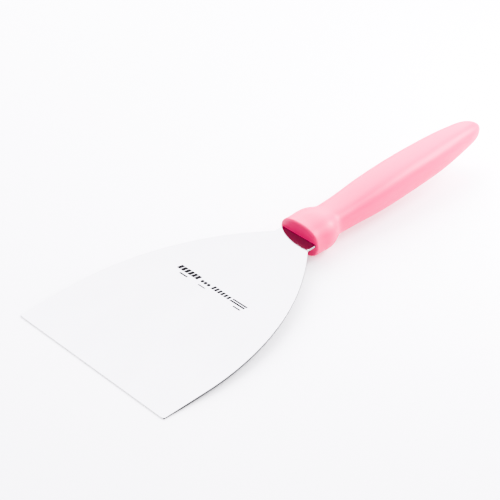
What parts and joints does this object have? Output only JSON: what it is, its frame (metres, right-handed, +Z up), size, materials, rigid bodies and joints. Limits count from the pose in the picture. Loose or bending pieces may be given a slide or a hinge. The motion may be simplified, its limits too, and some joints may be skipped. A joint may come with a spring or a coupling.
{
  "type": "flat spatula",
  "caption": "Wide flat bakery spatula: a thin bell-shaped steel blade with a straight front edge, its hidden tang moulded into a slim pink plastic handle with a flared collar.",
  "frame": {"origin": "centre of the tool's bounding box, on the surface that it lies on", "axes": "+X across the blade, +Y from the front edge towards the handle's tail, +Z up from the surface; the tool is tipped 4.25 degrees about X, so that it rests on its front edge and on the underside of the handle's collar"},
  "size_m": [0.1008, 0.2562, 0.0249],
  "materials": {
    "blade_steel": "polished, with faint marks along the tool",
    "handle_plastic": "satin moulded pink polypropylene",
    "printed_mark": "dark grey print of plain bars and dots"
  },
  "bodies": {
    "root": {"blade": "blade_steel", "handle": "handle_plastic"}
  },
  "joints": []
}
